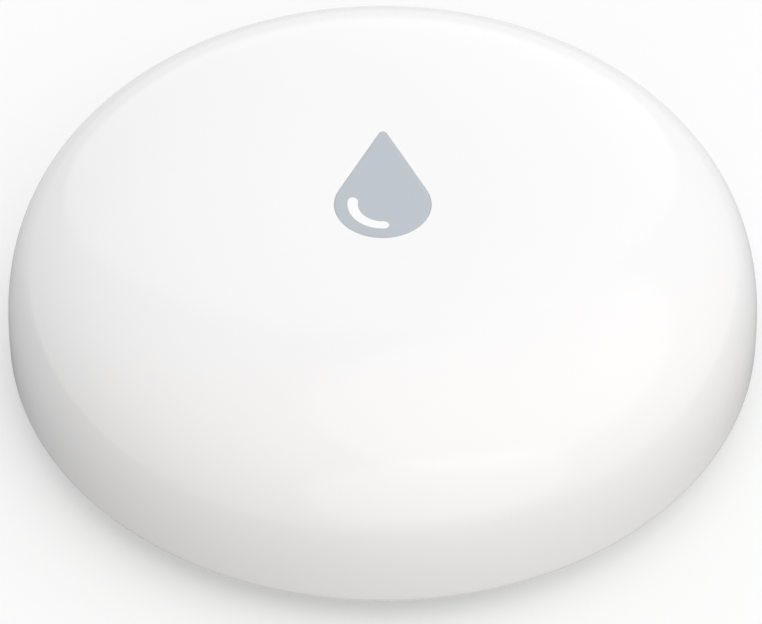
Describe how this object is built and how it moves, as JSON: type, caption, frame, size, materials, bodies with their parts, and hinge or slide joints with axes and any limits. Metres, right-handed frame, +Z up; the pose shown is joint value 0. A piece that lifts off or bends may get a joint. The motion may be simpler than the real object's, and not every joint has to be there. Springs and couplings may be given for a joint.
{
  "type": "water leak sensor",
  "caption": "Round domed battery water leak sensor with a drop-shaped push button on top, probe screws and a coin-turned battery cover below.",
  "frame": {"origin": "Middle of the footprint, on the plane that the four feet stand on", "axes": "+Z up through the dome, +Y towards the tip of the drop-shaped button, +X towards one probe screw"},
  "size_m": [0.05, 0.05, 0.015],
  "materials": {
    "shell_gloss": "polished moulded white plastic",
    "button_translucent": "translucent pale blue-grey plastic, polished",
    "button_inlay": "white second shot, polished",
    "silicone_clear": "soft translucent silicone",
    "base_matte": "fine spark-textured white plastic",
    "cover_matte": "fine spark-textured white plastic",
    "seal_rubber": "smooth dark silicone rubber",
    "probe_steel": "nickel-plated, lightly turned",
    "insert_brass": "turned brass",
    "board_laminate": "green solder mask over glass laminate",
    "small_screw_steel": "zinc-plated",
    "switch_black": "moulded black nylon",
    "switch_stem_plastic": "moulded black plastic",
    "contact_steel": "stamped and tin-plated",
    "lamp_white": "clear lens over a white body",
    "chip_black": "moulded black epoxy",
    "antenna_copper": "gold-plated copper track",
    "component_ceramic": "fired ceramic",
    "cell_steel": "brushed nickel-plated steel",
    "cell_nylon": "moulded nylon"
  },
  "bodies": {
    "housing": {"top_cover": "shell_gloss", "base": "base_matte", "housing_seal": "seal_rubber", "button_boot": "silicone_clear", "probe_screws": "probe_steel", "probe_seals": "seal_rubber", "probe_inserts": "insert_brass", "circuit_board": "board_laminate", "board_screws": "small_screw_steel", "switch_body": "switch_black", "switch_plate": "contact_steel", "switch_leads": "contact_steel", "status_led": "lamp_white", "radio_chip": "chip_black", "crystal": "contact_steel", "antenna": "antenna_copper", "chip_components": "component_ceramic", "negative_contact": "contact_steel", "positive_contact": "contact_steel"},
    "button": {"push_button": "button_translucent", "push_button_highlight": "button_inlay", "switch_stem": "switch_stem_plastic"},
    "cell_carrier": {"battery_cover_seal": "seal_rubber", "cell_can": "cell_steel", "cell_gasket": "cell_nylon", "cell_lid": "cell_steel"},
    "cell_cap": {"battery_cover": "cover_matte"}
  },
  "joints": [
    {"name": "button_press", "type": "slide", "parent": "housing", "child": "button", "axis": [0, 0, -1], "range_m": [0, 0.0003], "stiffness_N_per_m": 300, "springref_m": -0.0003, "deforming": ["button_boot"]},
    {"name": "battery_cover_lift", "type": "slide", "parent": "housing", "child": "cell_carrier", "axis": [0, 0, -1], "range_m": [0, 0.0026]},
    {"name": "battery_cover_turn", "type": "hinge", "parent": "cell_carrier", "child": "cell_cap", "pos_m": [0, 0, 0.0006], "axis": [0, 0, -1], "range_deg": [0, 60]}
  ],
  "couplings": [
    {"joint": "battery_cover_lift", "follows": "battery_cover_turn", "m_per_rad": 0.00248}
  ]
}
